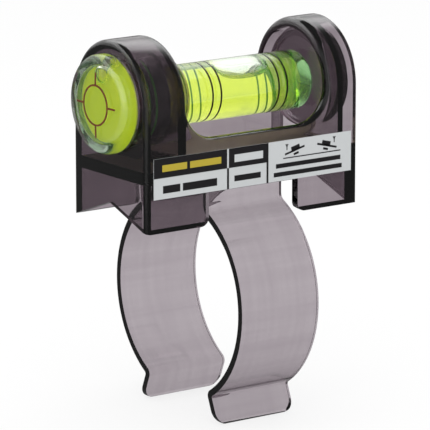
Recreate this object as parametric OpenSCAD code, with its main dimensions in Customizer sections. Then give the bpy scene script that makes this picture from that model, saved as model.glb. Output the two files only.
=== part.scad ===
// Pipe level: a clear smoke-tinted body that snaps over a round pipe with two
// sprung arms, a tubular vial along the pipe and a round vial on the end face.
// Origin on the axis of the pipe, at the middle of the arms. +X runs along the
// pipe away from the round vial, +Y to the back, +Z up. The label faces -Y.

/* [Body] */
// Distance from the middle of the arms to the end face with the round vial
left_reach = 29; // [26:0.1:40]
// Distance from the middle of the arms to the other end face
right_reach = 28.4; // [26:0.1:40]
// Width of the body across the pipe
body_width = 27.8; // [26:0.1:32]
// Radius of the outer edges at the end with the round vial
end_edge = 1.4; // [0.5:0.1:2]
// Thickness of the long side walls and of the tower skins
side_wall = 2.1; // [1.5:0.1:2.6]
// Thickness of the two end walls
end_wall = 2.2; // [1.6:0.1:2.8]
// Height of the low side walls between the towers, above the foot
side_height = 19.3; // [17:0.1:21]
// Height of the floor between the side walls, above the foot
floor_height = 13.4; // [12:0.1:14.5]
// Thickness of the floor
floor_thickness = 2.8; // [1.6:0.1:3.2]
// Radius of the rounded rim round the window between the towers
rim_edge = 2; // [0.5:0.1:2]
// Radius of the curve from the floor up to a tower
floor_radius = 3; // [1:0.5:4]

/* [Towers] */
// Length of the tower that carries the round vial
left_tower = 11.5; // [8:0.1:14]
// Length of the tower at the free end of the vial
right_tower = 7.9; // [5:0.1:10]
// Thickness of the web that closes the left tower behind the round vial
left_web = 2.2; // [1.5:0.1:2.6]
// Depth of the recess in the face of the right tower
right_recess = 3.7; // [2.2:0.1:5]
// Thickness of the web in the right tower
right_web = 1.4; // [1:0.1:1.8]
// Radius of the solid boss in the right tower
boss_radius = 10.8; // [9.5:0.1:11.2]
// Distance from the rim of the right tower to the boss
boss_depth = 2.1; // [0.8:0.1:3]
// Distance from the boss to the end of the body
boss_inset = 0.6; // [0:0.1:1]
// Radius of the dish in the boss, which faces the free end of the vial
dish_radius = 9.5; // [8:0.1:10]
// Depth of the dish
dish_depth = 0.6; // [0.2:0.1:1.2]

/* [Pipe seat] */
// Slope of the two flats that rest on the pipe, in degrees
seat_angle = 20; // [15:0.5:25]
// Space between the flats and a pipe held by the clip
seat_clearance = 0.08; // [0.05:0.01:0.3]
// Width of the notch that the arms pass through
notch_width = 24.4; // [23:0.1:30]
// Height of the notch above the foot
notch_height = 7.5; // [6:0.1:9]
// Radius of the lower corners beside the notch
notch_radius = 2; // [0.5:0.1:3]

/* [Clip arms] */
// Radius of the pipe that the arms close on
clip_radius = 22.4; // [20:0.1:25]
// Thickness of the arms
arm_thickness = 1.5; // [1.2:0.1:2]
// Width of the arms along the pipe
arm_width = 21.1; // [16:0.1:22]
// Distance from the middle to the outer face of an arm at its root
arm_root = 10; // [8.5:0.1:10.8]
// Radius of the bend between the root and the round stretch
root_bend = 2.5; // [1.5:0.1:3.5]
// Half the width of the throat that the pipe is pushed through
throat_half = 11.1; // [9:0.1:14]
// Depth of the lip tips below the axis of the pipe
lip_depth = 26.6; // [25:0.1:30]
// Outward lean of the lips, in degrees
lip_lean = 22; // [10:1:35]
// Corner radius of the lips
lip_corner = 3; // [1:0.1:4]

/* [Tubular vial] */
// Height of the vial axis above the foot
vial_height = 27; // [26:0.1:30]
// Outer radius of the vial
vial_radius = 6.5; // [5:0.1:7]
// Wall of the vial at its ends
vial_wall = 1.4; // [1:0.1:2]
// Rise of the barrel-shaped bore at its middle
barrel_rise = 0.3; // [0:0.05:0.5]
// Gap between the free end of the vial and the right tower
vial_end_gap = 0.6; // [0.3:0.1:2]
// Length of the end plug
plug_length = 2.6; // [2:0.1:4]
// Outer radius of the collar that grips the vial
collar_radius = 8.5; // [7.8:0.1:9.5]
// Length of the collar outside the left tower
collar_length = 4.1; // [3:0.1:8]
// Space between collar and vial
collar_clearance = 0.05; // [0.02:0.01:0.15]
// Place of the middle between the rings, from the middle of the body
ring_centre = 5.1; // [3:0.1:6]
// Distance from that middle to the inner rings
inner_ring = 7.95; // [7:0.05:9]
// Distance from that middle to the outer rings
outer_ring = 10.25; // [9.8:0.05:11]
// Width of a ring
ring_width = 0.4; // [0.3:0.05:0.8]
// Depth of the groove that a ring fills
ring_depth = 0.12; // [0.08:0.01:0.2]
// Length of the bubble
bubble_length = 15; // [10:0.5:18]
// Radius of the bubble
bubble_radius = 2.6; // [1.5:0.1:3]
// Depth to which the tube's wall cuts a bubble flat
bubble_flat = 0.3; // [0.2:0.05:0.6]

/* [Round vial] */
// Radius of the part of the round vial outside the body
head_radius = 11; // [10.8:0.1:11.8]
// Distance that it stands out of the end face
head_height = 3.4; // [3:0.1:6]
// Radius of the rounded edge of the head
head_edge = 2; // [1:0.1:2.5]
// Crown of the head's face at its middle
head_crown = 0.4; // [0.2:0.05:0.8]
// Radius of the shank inside the body
shank_radius = 10.3; // [9.8:0.1:10.5]
// Space between the shank and its bore
shank_clearance = 0.05; // [0.02:0.01:0.15]
// Wall around the liquid and thickness of its window
head_wall = 1.6; // [1.2:0.1:2]
// Depth of the chamber behind the end face
chamber_depth = 1.8; // [0.6:0.1:2.5]
// Radius of the round bubble
round_bubble = 2.1; // [1.5:0.1:2.6]
// Radius of the target circle
target_radius = 4.4; // [3:0.1:5]
// Line width of the target
target_line = 0.4; // [0.3:0.05:0.7]
// Length of the four marks outside the circle
target_mark = 2.8; // [2:0.1:3]

/* [Label] */
// Length of the label
label_length = 54; // [44:0.1:54.5]
// Height of the label
label_height = 9; // [7:0.1:9.2]
// Distance from the rounded rim of the side wall to the label
label_drop = 0.7; // [0.1:0.05:1]
// Thickness of the label
label_thickness = 0.16; // [0.1:0.02:0.3]
// Thickness of the print on the face of the label
print_thickness = 0.04; // [0.02:0.01:0.08]
// Length of the dark field at the left
dark_field = 19.6; // [12:0.1:20]
// Length of the middle field
middle_field = 11.3; // [8:0.1:12]
// Width of the lines between the fields
field_line = 0.5; // [0.3:0.1:0.8]
// Share of the height that the dark band of the left and middle fields takes
dark_share = 0.48; // [0.4:0.01:0.6]

/* [Hidden] */
$fn = 96;

left_x = -left_reach;
half_width = body_width / 2;
inner_half = half_width - side_wall;
// The flats touch a circle that is just larger than the pipe
seat_apex = (clip_radius + seat_clearance) / cos(seat_angle);
foot_z = seat_apex - half_width * tan(seat_angle);
floor_top = foot_z + floor_height;
floor_under = floor_top - floor_thickness;
side_top = foot_z + side_height;
vial_z = foot_z + vial_height;
top_z = vial_z + half_width;
// The corners of the window end level with the vial axis
window_radius = vial_z - side_top;
past = 1;

// Faces of the towers and webs along the pipe
left_inner = left_x + left_tower;
right_inner = right_reach - right_tower;
left_web_x = left_inner - left_web;
right_web_x = right_inner + right_recess;
boss_x = right_inner + boss_depth;
boss_end = right_reach - boss_inset;

// Middle line of an arm: straight root, bend, round stretch, throat, lip
arm_middle = clip_radius + arm_thickness / 2;
arm_outer = clip_radius + arm_thickness;
root_middle = arm_root - arm_thickness / 2;
root_y = root_middle + root_bend;
root_z = sqrt(pow(arm_middle + root_bend, 2) - pow(root_y, 2));
arm_start = atan2(root_z, root_y);
throat_y = throat_half + arm_thickness;
throat_z = -sqrt(pow(arm_outer, 2) - pow(throat_y, 2));
arm_end = atan2(throat_z, throat_y);
lip_turn = 180 + lip_lean;
lip_run = (lip_depth + throat_z - arm_thickness / 2 + sin(lip_turn) * arm_thickness / 2) / cos(lip_lean);

// Tubular vial
vial_right = boss_x - vial_end_gap;
vial_bore = vial_radius - vial_wall;
bore_left = left_web_x + plug_length;
bore_right = vial_right - plug_length;
bore_length = bore_right - bore_left;
ring_places = [-outer_ring, -inner_ring, inner_ring, outer_ring];
// The bubble lies against the top of the bore
bubble_z = vial_bore + barrel_rise - bubble_radius + bubble_flat;

// Round vial
front_x = left_x - head_height;
chamber_radius = shank_radius - head_wall;
window_x = front_x + head_wall;
chamber_x = left_x + chamber_depth;
crown_radius = (pow(head_radius - head_edge, 2) + pow(head_crown, 2)) / (2 * head_crown);
crown_x = front_x + crown_radius - head_crown;

// Label
label_left = -label_length / 2;
label_top = side_top - rim_edge - label_drop;
label_y = -half_width;
dark_height = label_height * dark_share;
field_1 = label_left + dark_field;
field_2 = field_1 + middle_field;

// Sweeps a flat Y-Z outline along the pipe
module along_x(x0, x1) {
    translate([x0, 0, 0])
        rotate([90, 0, 90])
            linear_extrude(x1 - x0) children();
}

// Sweeps a flat X-Z outline across the pipe
module across_y(y0, y1) {
    translate([0, y1, 0])
        rotate([90, 0, 0])
            linear_extrude(y1 - y0) children();
}

// Turns an outline about the vial axis; its X runs along the pipe
module round_x(z) {
    translate([0, 0, z])
        rotate([90, 0, 90])
            rotate_extrude() rotate(90) mirror([0, 1]) children();
}

// Cross-section of a tower's hollow: straight sides under a half circle
module tower_hollow() {
    translate([-inner_half, floor_top]) square([2 * inner_half, vial_z - floor_top]);
    translate([0, vial_z]) circle(inner_half);
}

// Rectangle with its two lower corners rounded
module slot(x0, x1, z0, z1, r) {
    translate([x0 + r, z0]) square([x1 - x0 - 2 * r, z1 - z0]);
    translate([x0, z0 + r]) square([x1 - x0, z1 - z0 - r]);
    for (x = [x0 + r, x1 - r])
        translate([x, z0 + r]) circle(r);
}

// Cylinder along the pipe on the vial axis
module vial_cylinder(x0, x1, r) {
    translate([x0, 0, vial_z])
        rotate([0, 90, 0]) cylinder(h = x1 - x0, r = r);
}

// Part of a ring between two angles that are less than half a turn apart
module ring_part(outer, inner, from, to) {
    reach = 4 * outer;
    middle = (from + to) / 2;
    difference() {
        intersection() {
            circle(outer);
            polygon([[0, 0], reach * [cos(from), sin(from)],
                reach * [cos(middle), sin(middle)], reach * [cos(to), sin(to)]]);
        }
        circle(inner);
    }
}

// Section of one arm on the +Y side, from the floor to the rounded lip tip
module arm_section() {
    translate([root_middle - arm_thickness / 2, root_z])
        square([arm_thickness, floor_under + floor_thickness / 2 - root_z]);
    translate([root_y, root_z])
        ring_part(root_bend + arm_thickness / 2, root_bend - arm_thickness / 2, 180, 180 + arm_start);
    ring_part(arm_outer, clip_radius, arm_end, arm_start, $fn = 240);
    translate([throat_y, throat_z]) {
        intersection() {
            circle(arm_thickness);
            polygon([[0, 0], for (turn = [arm_end + 160, arm_end + 200, lip_turn, lip_turn + 20])
                4 * arm_thickness * [cos(turn), sin(turn)]]);
        }
        rotate(lip_lean) {
            translate([-arm_thickness, -lip_run]) square([arm_thickness, lip_run]);
            translate([-arm_thickness / 2, -lip_run]) circle(arm_thickness / 2);
        }
    }
}

// Both arms, with the lips' corners rounded in side view
module arms() {
    intersection() {
        along_x(-arm_width / 2, arm_width / 2) {
            arm_section();
            mirror([1, 0]) arm_section();
        }
        across_y(-clip_radius - 5, clip_radius + 5)
            slot(-arm_width / 2, arm_width / 2, -lip_depth, floor_top, lip_corner);
    }
}

// Block outline that stretches from one end face to the other, out to the given
// half width, with its corner at the left end rounded
module end_outline() {
    translate([left_x, 0]) square([right_reach - left_x, half_width - end_edge]);
    translate([left_x + end_edge, 0]) square([right_reach - left_x - end_edge, half_width]);
    translate([left_x + end_edge, half_width - end_edge]) circle(end_edge);
}

// Straight sides under a half turn about the vial axis
module rounded_block() {
    translate([0, 0, foot_z])
        linear_extrude(vial_z - foot_z) {
            end_outline();
            mirror([0, 1]) end_outline();
        }
    intersection() {
        round_x(vial_z) end_outline();
        translate([left_x - past, -half_width - past, vial_z])
            cube([right_reach - left_x + 2 * past, body_width + 2 * past, half_width + past]);
    }
}

// Outer block of the body: two towers and low side walls, with the V seat and the notch
module block() {
    difference() {
        rounded_block();
        across_y(-half_width - past, half_width + past)
            slot(left_inner, right_inner, side_top, top_z + 10, window_radius);
        along_x(left_x - past, right_reach + past)
            polygon([[0, seat_apex], [half_width + past, foot_z - past * tan(seat_angle)],
                [half_width + past, foot_z - 10], [-half_width - past, foot_z - 10],
                [-half_width - past, foot_z - past * tan(seat_angle)]]);
        across_y(-half_width - past, half_width + past) notch_outline();
        window_rim();
        mirror([0, 1, 0]) window_rim();
        tower_rims();
    }
}

// Waste outside a rounded edge: X runs inward from the outer face, Y into the opening
module rim_waste() {
    difference() {
        translate([-past, -rim_edge]) square([past + rim_edge, rim_edge + past]);
        translate([rim_edge, -rim_edge]) circle(rim_edge);
    }
}

// Waste along the front wall's top and up both corners of the window
module window_rim() {
    along_x(left_inner + window_radius, right_inner - window_radius)
        translate([-half_width, side_top]) rim_waste();
    corner_rim(left_inner + window_radius, -1);
    corner_rim(right_inner - window_radius, 1);
}

// Waste round one corner of the window, on the side where the tower is
module corner_rim(x, side) {
    reach = window_radius + rim_edge + past;
    intersection() {
        translate([x, -half_width, vial_z])
            rotate([-90, 0, 0])
                rotate_extrude() translate([window_radius, 0]) rotate(90) rim_waste();
        translate([x + (side - 1) * reach / 2, -half_width - 2 * past, vial_z - reach])
            cube([reach, rim_edge + 4 * past, reach]);
    }
}

// Waste round the arches of both towers, above the vial axis
module tower_rims() {
    intersection() {
        round_x(vial_z) {
            translate([left_inner, half_width]) rotate(-90) rim_waste();
            translate([right_inner, half_width]) mirror([1, 0]) rotate(-90) rim_waste();
        }
        translate([left_x, -half_width - 2 * past, vial_z])
            cube([right_reach - left_x, body_width + 4 * past, half_width + 2 * past]);
    }
}

// Notch between rounded lower corners of the side walls
module notch_outline() {
    half = notch_width / 2;
    translate([-half, foot_z - past]) square([notch_width, notch_height + past]);
    for (side = [-1, 1])
        difference() {
            translate([side * (half + notch_radius / 2) - notch_radius / 2, foot_z - past])
                square([notch_radius, past + notch_radius]);
            translate([side * (half + notch_radius), foot_z + notch_radius]) circle(notch_radius);
        }
}

// Hollows of the body: underside, trough, left tower and the two faces of the right tower
module hollows() {
    along_x(left_x + end_wall, right_reach - end_wall)
        translate([-inner_half, foot_z - 10]) square([2 * inner_half, floor_under - foot_z + 10]);
    across_y(-inner_half, inner_half)
        slot(left_inner, right_web_x, floor_top, vial_z, floor_radius);
    along_x(left_x + end_wall, left_web_x) tower_hollow();
    along_x(right_inner, right_web_x) tower_hollow();
    along_x(right_web_x + right_web, right_reach + past) tower_hollow();
}

// Clear smoke-tinted body, moulded in one piece with its clip arms
module body() {
    color([0.33, 0.3, 0.33, 0.75])
        difference() {
            union() {
                difference() {
                    block();
                    hollows();
                }
                vial_cylinder(left_web_x, left_inner + collar_length, collar_radius);
                vial_cylinder(boss_x, boss_end, boss_radius);
                arms();
            }
            vial_cylinder(left_web_x - past, left_inner + collar_length + past, vial_radius + collar_clearance);
            vial_cylinder(left_x - past, left_x + end_wall + past, shank_radius + shank_clearance);
            vial_cylinder(boss_x - past, boss_x + dish_depth, dish_radius);
        }
}

// Outline of the round vial's clear cup, along the pipe and outward from its axis
module head_outline() {
    translate([front_x + head_edge, 0]) square([head_height - head_edge, head_radius]);
    translate([front_x, 0]) square([head_edge, head_radius - head_edge]);
    translate([front_x + head_edge, head_radius - head_edge]) circle(head_edge);
    intersection() {
        translate([crown_x, 0]) circle(crown_radius, $fn = 360);
        translate([front_x - head_crown, 0]) square([head_crown, head_radius - head_edge]);
    }
    translate([left_x, 0]) square([left_web_x - left_x, shank_radius]);
}

// Clear cup of the round vial, with a shank that fits the bore of the end wall
module round_vial_cup() {
    color([0.9, 0.93, 0.9, 0.5])
        difference() {
            round_x(vial_z)
                intersection() {
                    head_outline();
                    translate([front_x - 1, 0]) square([head_height + left_tower + 2, head_radius + 1]);
                }
            vial_cylinder(window_x, left_web_x + past, chamber_radius);
            round_vial_target_shape();
        }
}

// Plug that closes the back of the round vial
module round_vial_base() {
    color([0.86, 0.88, 0.8])
        vial_cylinder(chamber_x, left_web_x, chamber_radius);
}

// Liquid of the round vial with its bubble at the top
module round_vial_liquid() {
    color([0.74, 0.84, 0.25])
        difference() {
            vial_cylinder(window_x, chamber_x, chamber_radius);
            translate([window_x + round_bubble - bubble_flat, 0, vial_z + chamber_radius - round_bubble + bubble_flat])
                sphere(round_bubble);
        }
}

// Target lines: a circle and four marks in the face of the cup
module round_vial_target_shape() {
    depth = 0.2;
    intersection() {
        along_x(front_x - head_crown - 1, front_x + depth)
            translate([0, vial_z]) target_lines();
        vial_cylinder(front_x - 0.1, front_x + depth, head_radius);
    }
}

module target_lines() {
    difference() {
        circle(target_radius + target_line / 2);
        circle(target_radius - target_line / 2);
    }
    for (turn = [0:90:270])
        rotate(turn)
            translate([target_radius, -target_line / 2]) square([target_mark, target_line]);
}

module round_vial_target() {
    color([0.62, 0.28, 0.16]) round_vial_target_shape();
}

// Outline of the barrel-shaped bore, along the pipe and outward from its axis
module bore_outline() {
    steps = 8;
    polygon([[bore_left, 0],
        for (i = [0:steps])
            [bore_left + i * bore_length / steps, vial_bore + barrel_rise * (1 - pow(2 * i / steps - 1, 2))],
        [bore_right, 0]]);
}

// Section of the tube: closed left end, barrel bore, plug seat and ring grooves
module tube_outline() {
    difference() {
        translate([left_web_x, 0]) square([vial_right - left_web_x, vial_radius]);
        bore_outline();
        translate([bore_right - 0.01, -past]) square([plug_length + past, vial_bore + past]);
        for (place = ring_places)
            translate([ring_centre + place - ring_width / 2, vial_radius - ring_depth])
                square([ring_width, ring_depth + past]);
    }
}

// Clear tube of the main vial, closed at its left end and grooved for the rings
module main_vial_tube() {
    color([0.9, 0.93, 0.9, 0.5]) round_x(vial_z) tube_outline();
}

// Plug that seals the free end of the tube
module main_vial_plug() {
    color([0.85, 0.9, 0.85, 0.5]) vial_cylinder(bore_right, vial_right, vial_bore);
}

// Liquid of the main vial with its long bubble
module main_vial_liquid() {
    color([0.8, 0.92, 0.3])
        difference() {
            round_x(vial_z) bore_outline();
            translate([ring_centre - bubble_length / 2 + bubble_radius, 0, vial_z + bubble_z])
                rotate([0, 90, 0]) {
                    cylinder(h = bubble_length - 2 * bubble_radius, r = bubble_radius);
                    sphere(bubble_radius);
                    translate([0, 0, bubble_length - 2 * bubble_radius]) sphere(bubble_radius);
                }
        }
}

// Four black rings that frame the bubble, flush with the tube
module main_vial_rings() {
    color([0.06, 0.06, 0.06])
        for (place = ring_places)
            round_x(vial_z)
                translate([ring_centre + place - ring_width / 2, vial_radius - ring_depth])
                    square([ring_width, ring_depth]);
}

// Pale label film on the front wall
module label() {
    color([0.8, 0.81, 0.82])
        across_y(label_y - label_thickness, label_y)
            translate([label_left, label_top - label_height]) square([label_length, label_height]);
}

// Black print on the film: two dark bands and the lines between the pale fields
module label_print() {
    print_y = label_y - label_thickness;
    band_bottom = label_top - dark_height;
    color([0.1, 0.1, 0.11])
        across_y(print_y - print_thickness, print_y) {
            translate([label_left, band_bottom]) square([dark_field, dark_height]);
            translate([field_1 + field_line, band_bottom]) square([middle_field - field_line, dark_height]);
            translate([field_1, label_top - label_height]) square([field_line, label_height - dark_height]);
            translate([field_2 - field_line, label_top - label_height])
                square([field_line, label_height - dark_height]);
        }
}

body();
round_vial_cup();
round_vial_base();
round_vial_liquid();
round_vial_target();
main_vial_tube();
main_vial_plug();
main_vial_liquid();
main_vial_rings();
label();
label_print();
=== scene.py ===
import math
import bmesh
import bpy
from mathutils import Matrix, Vector


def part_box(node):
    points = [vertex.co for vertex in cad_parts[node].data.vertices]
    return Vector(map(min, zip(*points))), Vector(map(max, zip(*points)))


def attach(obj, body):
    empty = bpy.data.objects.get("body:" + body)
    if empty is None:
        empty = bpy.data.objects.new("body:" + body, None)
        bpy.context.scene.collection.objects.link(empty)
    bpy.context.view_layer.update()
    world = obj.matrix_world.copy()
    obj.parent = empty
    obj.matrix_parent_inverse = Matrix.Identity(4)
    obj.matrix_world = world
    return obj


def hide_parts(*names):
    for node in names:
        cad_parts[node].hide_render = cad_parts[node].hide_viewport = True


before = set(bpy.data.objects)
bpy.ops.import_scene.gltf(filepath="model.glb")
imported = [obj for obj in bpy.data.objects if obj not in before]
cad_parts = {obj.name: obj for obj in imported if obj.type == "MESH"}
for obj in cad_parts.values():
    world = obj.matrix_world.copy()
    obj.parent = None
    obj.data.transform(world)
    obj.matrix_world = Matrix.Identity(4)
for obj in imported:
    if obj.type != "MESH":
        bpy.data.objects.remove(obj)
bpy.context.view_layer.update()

mm = 0.001


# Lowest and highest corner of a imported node, in millimetres
def nodeBox(name):
    return [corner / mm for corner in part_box(name)]


bodyLow, bodyHigh = nodeBox("body")
cupLow, cupHigh = nodeBox("round_vial_cup")
baseLow, baseHigh = nodeBox("round_vial_base")
chamberLow, chamberHigh = nodeBox("round_vial_liquid")
tubeLow, tubeHigh = nodeBox("main_vial_tube")
plugLow, plugHigh = nodeBox("main_vial_plug")
liquidLow, liquidHigh = nodeBox("main_vial_liquid")
ringsLow, ringsHigh = nodeBox("main_vial_rings")
labelLow, labelHigh = nodeBox("label")
vialZ = (tubeLow.z + tubeHigh.z) / 2


# Colours are written as sRGB hex codes
def toLinear(hexCode):
    channels = [int(hexCode[i:i + 2], 16) / 255 for i in (1, 3, 5)]
    return [c / 12.92 if c <= 0.04045 else ((c + 0.055) / 1.055) ** 2.4 for c in channels] + [1.0]


# Adds a node with its settings and links; a key is a property or an input
def addNode(tree, kind, settings=None, links=None):
    node = tree.nodes.new(kind)
    for key, value in (settings or {}).items():
        if isinstance(key, str) and hasattr(node, key):
            setattr(node, key, value)
        else:
            node.inputs[key].default_value = value
    for key, source in (links or {}).items():
        tree.links.new(source, node.inputs[key])
    return node


def newMaterial(name):
    material = bpy.data.materials.new(name)
    material.use_nodes = True
    material.node_tree.nodes.clear()
    return material, material.node_tree


# Object coordinates scaled so that one pattern cell measures the given millimetres along X, Y and Z
def patternSpace(tree, cell):
    place = addNode(tree, "ShaderNodeTexCoord")
    return addNode(tree, "ShaderNodeMapping", {"Scale": [1 / (c * mm) for c in cell]},
                   {"Vector": place.outputs["Object"]}).outputs["Vector"]


# X, Y and Z of the object's own coordinates
def objectPlace(tree):
    place = addNode(tree, "ShaderNodeTexCoord")
    return addNode(tree, "ShaderNodeSeparateXYZ", None, {0: place.outputs["Object"]})


# Smoke-tinted polycarbonate from a polished mould: dark at its edges, with faint flow lines in the skin.
# The floor of the trough is frosted, and part of its clearness gives way to a beige painted light from the
# yellow vial above; this shows through the front wall as a pale band over the label.
def smokePolycarbonate():
    smoke = {"ior": 1.585, "roughness": 0.03, "roughSpread": (0.5, 1.6), "density": 560.0, "tint": "#6f3c60",
             "hazeCell": (5, 5, 5), "flowCell": (60, 9, 3.2), "flowDepth": 0.02, "flowStrength": 0.25,
             "streakCell": (1.4, 30, 30), "streakDark": "#efedef", "streakRange": (0.12, 0.36),
             "frostAndLightZ": 32.264, "frostAndLightBand": 0.1, "frostAndLightFacing": 0.9, "frostedRough": 0.45,
             "paintedLightShare": 0.7, "paintedVialLight": "#e6dabb"}
    material, tree = newMaterial("smokePolycarbonate")
    flow = addNode(tree, "ShaderNodeTexNoise", {"Scale": 1.0, "Detail": 3.0, "Roughness": 0.55},
                   {"Vector": patternSpace(tree, smoke["flowCell"])})
    haze = addNode(tree, "ShaderNodeTexNoise", {"Scale": 1.0, "Detail": 4.0},
                   {"Vector": patternSpace(tree, smoke["hazeCell"])})
    smooth, dull = (smoke["roughness"] * share for share in smoke["roughSpread"])
    rough = addNode(tree, "ShaderNodeMapRange", {"To Min": smooth, "To Max": dull},
                    {"Value": haze.outputs["Fac"]})
    bump = addNode(tree, "ShaderNodeBump",
                   {"Strength": smoke["flowStrength"], "Distance": smoke["flowDepth"] * mm},
                   {"Height": flow.outputs["Fac"]})
    streaks = addNode(tree, "ShaderNodeTexNoise", {"Scale": 1.0, "Detail": 5.0, "Roughness": 0.65},
                      {"Vector": patternSpace(tree, smoke["streakCell"])})
    both = addNode(tree, "ShaderNodeMath", {"operation": "MULTIPLY"},
                   {0: streaks.outputs["Fac"], 1: flow.outputs["Fac"]})
    low, high = smoke["streakRange"]
    spread = addNode(tree, "ShaderNodeMapRange", {"From Min": low, "From Max": high},
                     {"Value": both.outputs[0]})
    colour = addNode(tree, "ShaderNodeMix",
                     {"data_type": "RGBA", 6: toLinear(smoke["streakDark"]), 7: [1, 1, 1, 1]},
                     {"Factor": spread.outputs["Result"]})
    level = addNode(tree, "ShaderNodeMath",
                    {"operation": "COMPARE", 1: smoke["frostAndLightZ"] * mm, 2: smoke["frostAndLightBand"] * mm},
                    {0: objectPlace(tree).outputs["Z"]})
    facing = addNode(tree, "ShaderNodeSeparateXYZ", None,
                     {0: addNode(tree, "ShaderNodeNewGeometry").outputs["True Normal"]})
    steep = addNode(tree, "ShaderNodeMath", {"operation": "ABSOLUTE"}, {0: facing.outputs["Z"]})
    flat = addNode(tree, "ShaderNodeMath", {"operation": "GREATER_THAN", 1: smoke["frostAndLightFacing"]},
                   {0: steep.outputs[0]})
    frostAndLight = addNode(tree, "ShaderNodeMath", {"operation": "MULTIPLY"},
                      {0: level.outputs[0], 1: flat.outputs[0]})
    # Painted light: a beige colour on the trough's floor standing in for the yellow vial's light falling on it
    colour = addNode(tree, "ShaderNodeMix", {"data_type": "RGBA", 7: toLinear(smoke["paintedVialLight"])},
                     {"Factor": frostAndLight.outputs[0], 6: colour.outputs[2]})
    rough = addNode(tree, "ShaderNodeMath", {"operation": "MULTIPLY_ADD", 1: smoke["frostedRough"]},
                    {0: frostAndLight.outputs[0], 2: rough.outputs["Result"]})
    # Part of the floor's clearness gives way to that painted light
    clear = addNode(tree, "ShaderNodeMath", {"operation": "MULTIPLY_ADD", 1: -smoke["paintedLightShare"], 2: 1.0},
                    {0: frostAndLight.outputs[0]})
    shader = addNode(tree, "ShaderNodeBsdfPrincipled", {"IOR": smoke["ior"]},
                     {"Base Color": colour.outputs[2], "Roughness": rough.outputs[0],
                      "Transmission Weight": clear.outputs[0], "Normal": bump.outputs["Normal"]})
    absorb = addNode(tree, "ShaderNodeVolumeAbsorption",
                     {"Color": toLinear(smoke["tint"]), "Density": smoke["density"]})
    addNode(tree, "ShaderNodeOutputMaterial", None,
            {"Surface": shader.outputs["BSDF"], "Volume": absorb.outputs["Volume"]})
    return material


# Clear acrylic, turned and polished: glassy, a touch green through its length
def polishedAcrylic(name, tint, density):
    acrylic = {"ior": 1.49, "roughness": 0.012, "swirlCell": (4, 4, 4), "swirlDepth": 0.01,
               "swirlStrength": 0.08}
    material, tree = newMaterial(name)
    swirl = addNode(tree, "ShaderNodeTexNoise", {"Scale": 1.0, "Detail": 2.0},
                    {"Vector": patternSpace(tree, acrylic["swirlCell"])})
    rough = addNode(tree, "ShaderNodeMapRange", {"To Min": 0.0, "To Max": acrylic["roughness"] * 2},
                    {"Value": swirl.outputs["Fac"]})
    bump = addNode(tree, "ShaderNodeBump",
                   {"Strength": acrylic["swirlStrength"], "Distance": acrylic["swirlDepth"] * mm},
                   {"Height": swirl.outputs["Fac"]})
    shader = addNode(tree, "ShaderNodeBsdfPrincipled",
                     {"Base Color": [1, 1, 1, 1], "Transmission Weight": 1.0, "IOR": acrylic["ior"]},
                     {"Roughness": rough.outputs["Result"], "Normal": bump.outputs["Normal"]})
    absorb = addNode(tree, "ShaderNodeVolumeAbsorption",
                     {"Color": toLinear(tint), "Density": density})
    addNode(tree, "ShaderNodeOutputMaterial", None,
            {"Surface": shader.outputs["BSDF"], "Volume": absorb.outputs["Volume"]})
    return material


# Yellow-green vial liquid, a dyed spirit: blue is gone within a few millimetres; a faint green glow is painted
# into it as emission, standing in for the dye's fluorescence
def vialLiquid():
    liquid = {"ior": 1.40, "density": 250.0, "tint": "#f4f138", "paintedGlowColour": "#84ff70", "glow": 21.0}
    material, tree = newMaterial("dyedVialLiquid")
    shader = addNode(tree, "ShaderNodeBsdfPrincipled",
                     {"Base Color": [1, 1, 1, 1], "Transmission Weight": 1.0, "IOR": liquid["ior"],
                      "Roughness": 0.0})
    absorb = addNode(tree, "ShaderNodeVolumeAbsorption",
                     {"Color": toLinear(liquid["tint"]), "Density": liquid["density"]})
    # Painted glow: emission in the liquid standing in for the dye's fluorescence under the lamps
    glow = addNode(tree, "ShaderNodeEmission",
                   {"Color": toLinear(liquid["paintedGlowColour"]), "Strength": liquid["glow"]})
    dyeAndPaintedGlow = addNode(tree, "ShaderNodeAddShader", None,
                   {0: absorb.outputs["Volume"], 1: glow.outputs["Emission"]})
    addNode(tree, "ShaderNodeOutputMaterial", None,
            {"Surface": shader.outputs["BSDF"], "Volume": dyeAndPaintedGlow.outputs["Shader"]})
    return material


# A painted, printed or moulded opaque surface with a little mottling in colour and gloss; glow, where given,
# is a painted glow in its own colour
def opaqueFinish(name, hexCode, roughness, cell, contrast, relief, glow=0.0):
    finish = {"ior": 1.5, "glossSpread": 0.2, "bump": 0.3}
    material, tree = newMaterial(name)
    mottle = addNode(tree, "ShaderNodeTexNoise", {"Scale": 1.0, "Detail": 5.0, "Roughness": 0.6},
                     {"Vector": patternSpace(tree, (cell, cell, cell))})
    base = toLinear(hexCode)
    dark = [c * (1 - contrast) for c in base[:3]] + [1]
    light = [min(1, c * (1 + contrast)) for c in base[:3]] + [1]
    colour = addNode(tree, "ShaderNodeMix", {"data_type": "RGBA", 6: dark, 7: light},
                     {"Factor": mottle.outputs["Fac"]})
    smooth, dull = (roughness * (1 + sign * finish["glossSpread"]) for sign in (-1, 1))
    rough = addNode(tree, "ShaderNodeMapRange", {"To Min": smooth, "To Max": dull},
                    {"Value": mottle.outputs["Fac"]})
    bump = addNode(tree, "ShaderNodeBump", {"Strength": finish["bump"], "Distance": relief * mm},
                   {"Height": mottle.outputs["Fac"]})
    # Emission in the finish's own colour is a painted glow, set by glow
    shader = addNode(tree, "ShaderNodeBsdfPrincipled",
                     {"IOR": finish["ior"], "Emission Color": base, "Emission Strength": glow},
                     {"Base Color": colour.outputs[2], "Roughness": rough.outputs["Result"],
                      "Normal": bump.outputs["Normal"]})
    addNode(tree, "ShaderNodeOutputMaterial", None, {"Surface": shader.outputs["BSDF"]})
    return material


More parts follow.
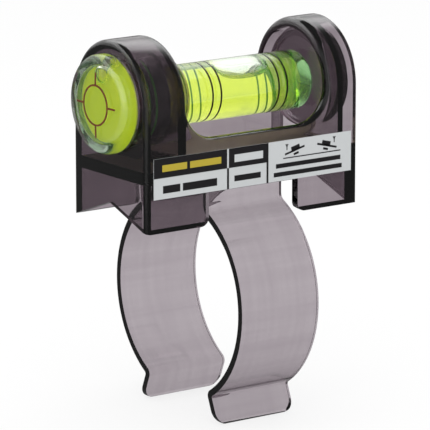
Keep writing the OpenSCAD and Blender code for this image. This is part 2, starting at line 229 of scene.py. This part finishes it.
smoke = smokePolycarbonate()
acrylic = polishedAcrylic("clearAcrylic", "#b4f9bc", 40.0)  # glassy walls, green where a ray runs along them
tintedAcrylic = polishedAcrylic("greenTintedAcrylic", "#6fc83c", 150.0)  # the green lens at the free end
liquid = vialLiquid()

# Name, colour, roughness, pattern cell in mm, contrast and relief in mm of each opaque finish, and a painted
# glow on two of them
plugBlack = opaqueFinish("mouldedAbsBlack", "#2a2b26", 0.4, 1.5, 0.15, 0.01)  # dark side behind the smoke
# Green colour and glow in the plug's grooves: a painted reflection, seen as green arcs through the tower
plugGreenPaintedReflection = opaqueFinish("paintedGreenReflection", "#5fbf4a", 0.4, 1.5, 0.1, 0.01, glow=0.1)  # arcs in its grooves
# Pale plug face with a painted glow, which lights up the liquid
plugPale = opaqueFinish("mouldedAbsPale", "#f0ea6a", 0.5, 1.5, 0.03, 0.01, glow=0.13)  # lights up the liquid
targetInk = opaqueFinish("padPrintedRedBrownInk", "#8e3a1c", 0.4, 0.4, 0.08, 0.004)  # thin rusty lines
ringInk = opaqueFinish("enamelBlackRing", "#101110", 0.35, 0.4, 0.1, 0.004)  # crisp glossy black
labelFilm = opaqueFinish("satinPolyesterLabel", "#c9cccd", 0.42, 0.9, 0.02, 0.01)  # silver grey, satin
labelInk = opaqueFinish("screenPrintedBlackInk", "#1b191c", 0.38, 0.7, 0.1, 0.006)  # dense satin black
goldInk = opaqueFinish("screenPrintedGoldInk", "#b9a52e", 0.4, 0.5, 0.06, 0.004)  # dull gold on the black
print("materials made")


# Adds one finished mesh to the scene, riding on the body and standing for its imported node
def finishPiece(name, bm, materials, slotName, *replaced):
    mesh = bpy.data.meshes.new(name)
    bm.to_mesh(mesh)
    bm.free()
    for material in materials:
        mesh.materials.append(material)
    mesh.shade_smooth()
    mesh.set_sharp_from_angle(angle=math.radians(32))
    piece = bpy.data.objects.new(name, mesh)
    bpy.context.scene.collection.objects.link(piece)
    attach(piece, "root")
    if replaced:
        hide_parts(*replaced)
    return piece


# Outline with arcs at its corners; each point is (along, out, corner radius) in millimetres
def rounded(points, steps=7):
    outline = []
    for i, (x, r, radius) in enumerate(points):
        if radius <= 0 or i in (0, len(points) - 1):
            outline.append((x, r))
            continue
        corner = Vector((x, r))
        before = (Vector(points[i - 1][:2]) - corner).normalized()
        after = (Vector(points[i + 1][:2]) - corner).normalized()
        half = before.angle(after) / 2
        centre = corner + (before + after).normalized() * radius / math.sin(half)
        start = corner + before * radius / math.tan(half) - centre
        end = corner + after * radius / math.tan(half) - centre
        turn = start.angle_signed(end)
        for step in range(steps + 1):
            angle = -turn * step / steps
            c, s = math.cos(angle), math.sin(angle)
            outline.append((centre.x + start.x * c - start.y * s, centre.y + start.x * s + start.y * c))
    return outline


# Faces between two loops of points; a loop of one point closes to a tip
def joinLoops(bm, first, second, count):
    faces = []
    for i in range(count):
        j = (i + 1) % count
        corners = [first[i % len(first)], first[j % len(first)],
                   second[j % len(second)], second[i % len(second)]]
        corners = [c for k, c in enumerate(corners) if c not in corners[:k]]
        if len(corners) > 2:
            faces.append(bm.faces.new(corners))
    return faces


# Turns an outline about the vial axis into a closed skin; points on the axis become single vertices
def turnOutline(bm, outline, segments=144, materialIndex=0):
    rings = []
    angles = [2 * math.pi * i / segments for i in range(segments)]
    for x, r in outline:
        if r < 1e-6:
            rings.append([bm.verts.new((x * mm, 0, vialZ * mm))])
        else:
            rings.append([bm.verts.new((x * mm, r * math.sin(a) * mm, (vialZ + r * math.cos(a)) * mm))
                          for a in angles])
    pairs = list(zip(rings, rings[1:]))
    if len(rings[0]) > 1:
        pairs.append((rings[-1], rings[0]))
    faces = [face for first, second in pairs for face in joinLoops(bm, first, second, segments)]
    for face in faces:
        face.material_index = materialIndex
    bmesh.ops.recalc_face_normals(bm, faces=faces)
    return faces


# Adds a hollow for a bubble: rings of points across the vial, clipped to the wall above
def hollowBubble(bm, centre, halfLength, halfWidth, depth, topRadius, bluntness, rings=48, around=64):
    tipDepth = depth * 0.25
    x0, top = centre
    loops = []
    for i in range(rings + 1):
        along = -math.cos(math.pi * i / rings)
        share = max(0.0, 1 - abs(along) ** bluntness) ** (1 / bluntness)
        x = x0 + halfLength * along
        wall = topRadius(x)
        if i in (0, rings):
            loops.append([bm.verts.new((x * mm, 0, (vialZ + min(top, wall) - tipDepth) * mm))])
            continue
        loop = []
        middle = min(top, wall) - tipDepth * (1 - share) - depth * share / 2
        for k in range(around):
            angle = 2 * math.pi * k / around
            y = halfWidth * share * math.sin(angle)
            z = middle + depth * share / 2 * math.cos(angle)
            z = min(z, math.sqrt(max(0.0, wall ** 2 - y ** 2)))
            loop.append(bm.verts.new((x * mm, y * mm, (vialZ + z) * mm)))
        loops.append(loop)
    faces = [face for first, second in zip(loops, loops[1:]) for face in joinLoops(bm, first, second, around)]
    bmesh.ops.recalc_face_normals(bm, faces=faces)
    bmesh.ops.reverse_faces(bm, faces=faces)


# Body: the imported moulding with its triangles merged, its collar a little longer with a rounded end, and
# its edges rounded as a mould rounds them, more on the arms and in the hollow bends above the lips
def buildBody():
    edges = {"radius": 0.22, "armRadius": 0.3, "segments": 2, "sharp": 32, "armTop": 15.0, "lipBend": 0.5,
             "lipSegments": 4, "collarEnd": -13.4, "collarRadius": 8.5, "collarLonger": 0.5,
             "collarRound": 1.0, "collarSegments": 6, "near": 0.1, "weld": 0.002, "flat": 0.6}
    sharp = math.radians(edges["sharp"])
    bm = bmesh.new()
    bm.from_mesh(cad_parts["body"].data)
    bmesh.ops.remove_doubles(bm, verts=bm.verts, dist=edges["weld"] * mm)
    bmesh.ops.dissolve_limit(bm, angle_limit=math.radians(edges["flat"]), verts=bm.verts, edges=bm.edges)
    rim = set()
    for vert in bm.verts:
        away = Vector((vert.co.y, vert.co.z - vialZ * mm)).length / mm - edges["collarRadius"]
        if abs(vert.co.x / mm - edges["collarEnd"]) < 0.01 and away < edges["near"]:
            vert.co.x += edges["collarLonger"] * mm
            if away > -edges["near"]:
                rim.add(vert)
    bends = [edge for edge in bm.edges if len(edge.link_faces) == 2 and not edge.is_convex
             and edge.calc_face_angle(0) > sharp and all(v.co.z < 0 for v in edge.verts)]
    bmesh.ops.bevel(bm, geom=bends, offset=edges["lipBend"] * mm, segments=edges["lipSegments"], profile=0.5,
                    affect="EDGES", clamp_overlap=True)
    collar = [edge for edge in bm.edges if all(v in rim for v in edge.verts)]
    bmesh.ops.bevel(bm, geom=collar, offset=edges["collarRound"] * mm, segments=edges["collarSegments"],
                    profile=0.5, affect="EDGES", clamp_overlap=True)
    weights = bm.edges.layers.float.new("bevel_weight_edge")
    for edge in bm.edges:
        if len(edge.link_faces) == 2 and edge.calc_face_angle(0) > sharp and edge.is_convex:
            if all(v.co.z < edges["armTop"] * mm for v in edge.verts):
                edge[weights] = 1.0
    piece = finishPiece("smokeBody", bm, [smoke], "smoke_body", "body")
    for name, width, limit in (("armEdges", edges["armRadius"], "WEIGHT"),
                               ("mouldEdges", edges["radius"], "ANGLE")):
        bevel = piece.modifiers.new(name, "BEVEL")
        bevel.width = width * mm
        bevel.segments = edges["segments"]
        bevel.limit_method = limit
        bevel.angle_limit = sharp
        bevel.miter_outer = "MITER_ARC"
        bevel.use_clamp_overlap = True
        bevel.harden_normals = True


buildBody()
print("body made")


# Round vial: clear cup with a crowned face, dyed liquid with a bubble at the top, plug with a pale face under
# a painted glow and two grooves coloured green with a glow as a painted reflection
def buildRoundVial():
    vial = {"edge": 2.0, "innerEdge": 0.9, "crownHeight": 0.4, "crownSteps": 10, "shankGap": 0.4,
            "seal": 0.03, "wallGap": 0.06, "bubbleShift": -0.2, "bubbleHalf": 1.6, "bubbleWidth": 2.1,
            "bubbleDepth": 4.2, "bluntness": 2.2, "plugGap": 0.02, "plugEdge": 0.3,
            "grooves": ((-25.0, -24.4), (-23.6, -23.0)), "grooveDepth": 0.7, "grooveEdge": 0.1}
    headRadius = cupHigh.y
    chamberRadius = baseHigh.y
    shankRadius = chamberRadius + (chamberLow.x - cupLow.x) - vial["shankGap"]
    frontX = cupLow.x + vial["crownHeight"]
    flat = headRadius - vial["edge"]
    crown = [(cupLow.x + vial["crownHeight"] * (r / flat) ** 2, r)
             for r in (flat * i / vial["crownSteps"] for i in range(vial["crownSteps"]))]
    shoulder = rounded([(frontX, 0, 0), (frontX, headRadius, vial["edge"]), (bodyLow.x, headRadius, 0)])[1:]
    inside = rounded([(cupHigh.x, chamberRadius, 0), (chamberLow.x, chamberRadius, vial["innerEdge"]),
                      (chamberLow.x, 0, 0)])
    bm = bmesh.new()
    turnOutline(bm, crown + shoulder + [(bodyLow.x, shankRadius), (cupHigh.x, shankRadius)] + inside)
    finishPiece("roundVialCup", bm, [acrylic], "clear_acrylic", "round_vial_cup")

    front, back = chamberLow.x - vial["seal"], chamberHigh.x + vial["seal"]
    filled = chamberRadius + vial["seal"]
    bm = bmesh.new()
    turnOutline(bm, rounded([(front, 0, 0), (front, filled, vial["innerEdge"]), (back, filled, 0),
                             (back, 0, 0)]))
    middle = (chamberLow.x + chamberHigh.x) / 2
    wall = chamberRadius - vial["wallGap"]
    hollowBubble(bm, (middle + vial["bubbleShift"], wall), vial["bubbleHalf"], vial["bubbleWidth"],
                 vial["bubbleDepth"], lambda x: wall, vial["bluntness"], 32, 48)
    finishPiece("roundVialLiquid", bm, [liquid], "vial_liquid", "round_vial_liquid")

    bm = bmesh.new()
    side, groove = chamberRadius - vial["plugGap"], chamberRadius - vial["grooveDepth"]
    outline = [(baseLow.x, 0, 0), (baseLow.x, side, vial["plugEdge"])]
    for low, high in vial["grooves"]:
        outline += [(x, r, vial["grooveEdge"])
                    for x, r in ((low, side), (low, groove), (high, groove), (high, side))]
    outline += [(baseHigh.x, side, vial["plugEdge"]), (baseHigh.x, 0, 0)]
    # Faces in the grooves take the painted green reflection, the front face the pale finish with its painted
    # glow
    for face in turnOutline(bm, rounded(outline), materialIndex=1):
        x = face.calc_center_median().x / mm
        if x < baseLow.x + 0.05:
            face.material_index = 0
        elif any(low < x < high for low, high in vial["grooves"]):
            face.material_index = 2
    finishPiece("roundVialPlug", bm, [plugPale, plugBlack, plugGreenPaintedReflection], "vial_plug", "round_vial_base")


buildRoundVial()
print("round vial made")


# Tubular vial: clear tube with a barrel bore, its plug, four rings and the dyed liquid with a long bubble
def buildMainVial():
    vial = {"outward": 0.15, "lower": 0.15, "longer": 0.45, "thickWall": 0.6, "innerEdge": 0.3, "endEdge": 1.6,
            "plugEdge": 0.25, "collarEnd": -13.4, "collarStep": 0.1, "seal": 0.02, "barrelSteps": 24,
            "segments": 180, "wallGap": 0.06, "bubbleLength": 14.2, "bubbleWidth": 7.0, "bubbleDepth": 3.3,
            "bubbleShift": 0.4, "bluntness": 2.6, "ringShift": -0.6, "ringStep": 2.3, "ringWidth": 0.42,
            "ringRelief": 0.015, "ringDepth": 0.1}
    tubeRadius = tubeHigh.y + vial["outward"]
    boreRadius = plugHigh.y - vial["thickWall"]
    tubeEnd = tubeHigh.x + vial["longer"]
    barrel = liquidHigh.y - plugHigh.y
    boreMiddle = (liquidLow.x + liquidHigh.x) / 2
    boreHalf = (liquidHigh.x - liquidLow.x) / 2

    def boreAt(x):
        return boreRadius + barrel * (1 - ((x - boreMiddle) / boreHalf) ** 2)

    def settled(name, bm, material, slotName, node):
        bmesh.ops.translate(bm, verts=bm.verts, vec=Vector((0, 0, -vial["lower"])) * mm)
        finishPiece(name, bm, [material], slotName, node)

    steps = vial["barrelSteps"]
    bore = [(x, boreAt(x)) for x in (liquidHigh.x - 2 * boreHalf * i / steps for i in range(steps + 1))]
    bm = bmesh.new()
    held = tubeHigh.y - vial["lower"]
    outer = rounded([(tubeLow.x, 0, 0), (tubeLow.x, held, vial["innerEdge"]), (vial["collarEnd"], held, 0),
                     (vial["collarEnd"] + vial["collarStep"], tubeRadius, 0),
                     (tubeEnd, tubeRadius, vial["endEdge"]), (tubeEnd, boreRadius, 0)])
    turnOutline(bm, outer + bore + [(liquidLow.x, 0)], vial["segments"])
    settled("mainVialTube", bm, acrylic, "clear_acrylic", "main_vial_tube")

    filled = boreRadius + vial["seal"]
    bm = bmesh.new()
    turnOutline(bm, rounded([(plugLow.x, 0, 0), (plugLow.x, filled, 0), (tubeEnd, filled, vial["plugEdge"]),
                             (tubeEnd, 0, 0)]))
    settled("mainVialPlug", bm, tintedAcrylic, "clear_acrylic", "main_vial_plug")

    front, back = liquidLow.x - vial["seal"], liquidHigh.x + vial["seal"]
    bm = bmesh.new()
    turnOutline(bm, [(back, 0), (back, filled)] + [(x, r + vial["seal"]) for x, r in bore[1:-1]]
                + [(front, filled), (front, 0)], vial["segments"])
    middle = (ringsLow.x + ringsHigh.x) / 2
    hollowBubble(bm, (middle + vial["bubbleShift"], boreRadius + barrel - vial["wallGap"]),
                 vial["bubbleLength"] / 2, vial["bubbleWidth"] / 2, vial["bubbleDepth"],
                 lambda x: boreAt(x) - vial["wallGap"], vial["bluntness"])
    settled("mainVialLiquid", bm, liquid, "vial_liquid", "main_vial_liquid")

    bm = bmesh.new()
    outerRing = (ringsHigh.x - ringsLow.x - vial["ringWidth"]) / 2
    innerRing = outerRing - vial["ringStep"]
    r0, r1 = tubeRadius - vial["ringDepth"], tubeRadius + vial["ringRelief"]
    for place in (-outerRing, -innerRing, innerRing, outerRing):
        x0, x1 = (middle + vial["ringShift"] + place + side * vial["ringWidth"] / 2 for side in (-1, 1))
        turnOutline(bm, [(x0, r0), (x0, r1), (x1, r1), (x1, r0)], vial["segments"])
    settled("mainVialRings", bm, ringInk, "ring_print", "main_vial_rings")


buildMainVial()
print("tubular vial made")


# Label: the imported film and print, with plain bars where words would be and two tilted blocks with arrows
def buildLabel():
    for name, material in (("label", labelFilm), ("label_print", labelInk),
                           ("round_vial_target", targetInk)):
        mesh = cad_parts[name].data
        mesh.materials.clear()
        mesh.materials.append(material)
    marks = {"relief": 0.015, "printRelief": 0.04}
    left, top = labelLow.x, labelHigh.z
    # Bars as (left, down from the top, length, height, lean) in millimetres
    goldBars = [(2.2, 1.5, 6.6, 1.5, 0), (9.6, 1.5, 8.4, 1.5, 0)]
    paleBars = [(21.6, 1.5, 7.8, 1.7, 0)]
    darkBars = [(2.4, 6.1, 4.6, 1.7, 0), (7.7, 6.1, 9.2, 1.7, 0), (21.6, 6.2, 7.2, 1.3, 0),
                (35.4, 2.3, 5.6, 0.45, -14), (44.4, 2.3, 5.6, 0.45, 14), (35.0, 3.9, 16.0, 0.25, 0),
                (37.2, 1.45, 2.4, 1.0, -14), (45.8, 1.45, 2.4, 1.0, 14), (37.9, 3.0, 1.4, 0.5, -14),
                (46.1, 3.0, 1.4, 0.5, 14), (35.9, 0.95, 0.25, 1.3, 0), (49.1, 0.75, 0.25, 1.3, 0),
                (35.55, 1.1, 0.75, 0.22, 50), (35.75, 1.1, 0.75, 0.22, -50), (48.75, 0.9, 0.75, 0.22, 50),
                (48.95, 0.9, 0.75, 0.22, -50),
                (33.0, 5.1, 18.0, 1.0, 0), (32.4, 7.0, 19.0, 1.0, 0)]
    for name, bars, material, slotName in (("labelBarsGold", goldBars, goldInk, "label_ink"),
                                           ("labelBarsPale", paleBars, labelFilm, "label_film"),
                                           ("labelBarsDark", darkBars, labelInk, "label_ink")):
        bm = bmesh.new()
        for x, down, length, height, lean in bars:
            near = labelLow.y - (0.0 if name == "labelBarsDark" else marks["printRelief"])
            turn = Matrix.Rotation(math.radians(lean), 3, "Y")
            centre = Vector((left + x + length / 2, 0, top - down - height / 2))
            corners = [centre + turn @ Vector((sx * length / 2, 0, sz * height / 2))
                       for sx, sz in ((-1, -1), (1, -1), (1, 1), (-1, 1))]
            front = [bm.verts.new((c.x * mm, (near - marks["relief"]) * mm, c.z * mm)) for c in corners]
            back = [bm.verts.new((c.x * mm, near * mm, c.z * mm)) for c in corners]
            faces = [bm.faces.new(front), bm.faces.new(back[::-1])]
            faces += joinLoops(bm, front, back, 4)
            bmesh.ops.recalc_face_normals(bm, faces=faces)
        finishPiece(name, bm, [material], slotName)


buildLabel()
print("label made")


# Result of a sum on two to three values, each a number or a socket
def combine(tree, operation, *values):
    numbers = {i: value for i, value in enumerate(values) if isinstance(value, float)}
    sockets = {i: value for i, value in enumerate(values) if not isinstance(value, float)}
    return addNode(tree, "ShaderNodeMath", {"operation": operation, **numbers}, sockets).outputs[0]


# One inside a soft-edged zone; each edge is an axis, where the zone starts and where it is full
def zoneMask(tree, axes, edges):
    mask = 1.0
    for axis, start, full in edges:
        step = addNode(tree, "ShaderNodeMapRange",
                       {"interpolation_type": "SMOOTHSTEP", "From Min": start, "From Max": full},
                       {"Value": axes.outputs[axis]})
        mask = combine(tree, "MULTIPLY", mask, step.outputs["Result"])
    return mask


# Brightness that each kind of ray finds: seen directly, bent by glass, mirrored, or scattered
def rayBrightness(tree, seen, bent, mirrored, scattered):
    path = addNode(tree, "ShaderNodeLightPath")
    bentRay = path.outputs["Is Transmission Ray"]
    mirroredRay = combine(tree, "GREATER_THAN", path.outputs["Is Glossy Ray"], bentRay)
    total = 0.0
    for ray, value in ((path.outputs["Is Camera Ray"], seen), (bentRay, bent), (mirroredRay, mirrored),
                       (path.outputs["Is Diffuse Ray"], scattered)):
        total = combine(tree, "MULTIPLY_ADD", ray, value, total)
    return total


# Floor, sky and lamps; glass finds a pale backdrop, a dim left back corner, a soft box at the front left
# and a bright strip high at the back
def buildStage():
    stage = {"floorSize": 8.0, "paper": "#f6f6f6", "floorGlow": 0.8, "scattered": 0.55, "dim": 0.86,
             "lowGloss": 0.18, "backGloss": 1.0, "highGloss": 2.3, "boxBent": 0.8, "boxGloss": 0.45,
             "floorCorner": (("X", -0.06, -0.25), ("Y", 0.0, 0.2)),
             "floorBox": (("X", -0.1, -0.3), ("Y", 0.02, -0.2)),
             "skyCorner": (("X", -0.1, -0.5), ("Y", 0.0, 0.5), ("Z", 0.8, 0.3)),
             "skyBox": (("X", -0.35, -0.7), ("Y", 0.05, -0.35), ("Z", 0.8, 0.4)),
             "skyBack": (("Y", -0.35, 0.5), ("Z", 0.0, 0.18), ("Z", 0.85, 0.5)),
             "skyHigh": (("Y", -0.05, 0.4), ("Z", 0.3, 0.7), ("Z", 0.84, 0.74)),
             "lampTarget": (0, 0, 30), "lampSize": 1.2, "lampPower": 6.0,
             "lamps": {"keyLamp": (-0.55, -0.75, 0.75), "topLamp": (0.1, 0.15, 0.95)}}
    bm = bmesh.new()
    bmesh.ops.create_grid(bm, x_segments=8, y_segments=8, size=stage["floorSize"] / 2)
    mesh = bpy.data.meshes.new("floor")
    bm.to_mesh(mesh)
    bm.free()
    floor = bpy.data.objects.new("floor", mesh)
    floor.location.z = bodyLow.z * mm
    bpy.context.scene.collection.objects.link(floor)
    material, tree = newMaterial("whitePaperFloor")  # white sheet that keeps the object's soft shadow
    place = objectPlace(tree)
    softBox = zoneMask(tree, place, stage["floorBox"])
    bent = combine(tree, "MULTIPLY_ADD", zoneMask(tree, place, stage["floorCorner"]), -stage["dim"], 1.0)
    bent = combine(tree, "MULTIPLY_ADD", softBox, stage["boxBent"], bent)
    mirrored = combine(tree, "MULTIPLY_ADD", softBox, stage["boxGloss"], stage["lowGloss"])
    glow = addNode(tree, "ShaderNodeEmission", {"Color": [1, 1, 1, 1]},
                   {"Strength": rayBrightness(tree, 1.0, bent, mirrored, 0.0)})
    paper = addNode(tree, "ShaderNodeBsdfDiffuse", {"Color": toLinear(stage["paper"])})
    share = rayBrightness(tree, stage["floorGlow"], stage["floorGlow"], 1.0, 0.0)
    mixed = addNode(tree, "ShaderNodeMixShader", None, {0: share, 1: paper.outputs[0], 2: glow.outputs[0]})
    addNode(tree, "ShaderNodeOutputMaterial", None, {"Surface": mixed.outputs[0]})
    mesh.materials.append(material)

    world = bpy.data.worlds.new("studio")
    bpy.context.scene.world = world
    world.use_nodes = True
    tree = world.node_tree
    tree.nodes.clear()
    direction = addNode(tree, "ShaderNodeSeparateXYZ", None,
                        {0: addNode(tree, "ShaderNodeTexCoord").outputs["Generated"]})
    softBox = zoneMask(tree, direction, stage["skyBox"])
    backLight = zoneMask(tree, direction, stage["skyBack"])
    highStrip = zoneMask(tree, direction, stage["skyHigh"])
    bent = combine(tree, "MULTIPLY_ADD", zoneMask(tree, direction, stage["skyCorner"]), -stage["dim"], 1.0)
    bent = combine(tree, "MULTIPLY_ADD", softBox, stage["boxBent"], bent)
    mirrored = combine(tree, "MULTIPLY_ADD", softBox, stage["boxGloss"], stage["lowGloss"])
    mirrored = combine(tree, "MULTIPLY_ADD", backLight, stage["backGloss"] - stage["lowGloss"], mirrored)
    mirrored = combine(tree, "MULTIPLY_ADD", highStrip, stage["highGloss"], mirrored)
    sky = addNode(tree, "ShaderNodeBackground", {"Color": [1, 1, 1, 1]},
                  {"Strength": rayBrightness(tree, 1.0, bent, mirrored, stage["scattered"])})
    addNode(tree, "ShaderNodeOutputWorld", None, {"Surface": sky.outputs[0]})

    target = Vector(stage["lampTarget"]) * mm
    for name, place in stage["lamps"].items():
        data = bpy.data.lights.new(name, "AREA")
        data.size = stage["lampSize"]
        data.energy = stage["lampPower"]
        lamp = bpy.data.objects.new(name, data)
        lamp.location = place
        lamp.rotation_mode = "QUATERNION"
        lamp.rotation_quaternion = (target - Vector(place)).to_track_quat("-Z", "Y")
        lamp.visible_glossy = False
        bpy.context.scene.collection.objects.link(lamp)


# Camera of the photo: angles in degrees, distance and aim in millimetres
def buildCamera():
    view = {"azimuth": -36.23, "elevation": 12.65, "roll": 0.01, "distance": 898.8,
            "aim": (1.93, 3.13, 16.35), "lens": 335.8, "sensor": 36.0}
    a, e, roll = (math.radians(view[key]) for key in ("azimuth", "elevation", "roll"))
    back = Vector((math.sin(a) * math.cos(e), -math.cos(a) * math.cos(e), math.sin(e)))
    right = Vector((math.cos(a), math.sin(a), 0))
    up = back.cross(right)
    turned = (right * math.cos(roll) + up * math.sin(roll), up * math.cos(roll) - right * math.sin(roll), back)
    data = bpy.data.cameras.new("camera")
    data.lens = view["lens"]
    data.sensor_width = view["sensor"]
    data.clip_start = 0.01
    camera = bpy.data.objects.new("camera", data)
    camera.matrix_world = Matrix.Translation((Vector(view["aim"]) + back * view["distance"]) * mm) @ \
        Matrix(turned).transposed().to_4x4()
    bpy.context.scene.collection.objects.link(camera)
    bpy.context.scene.camera = camera


buildStage()
buildCamera()
scene = bpy.context.scene
scene.view_settings.view_transform = "Standard"
scene.cycles.max_bounces = 32
scene.cycles.transmission_bounces = 32
scene.cycles.glossy_bounces = 16
scene.cycles.diffuse_bounces = 4
print("stage, light and camera made")
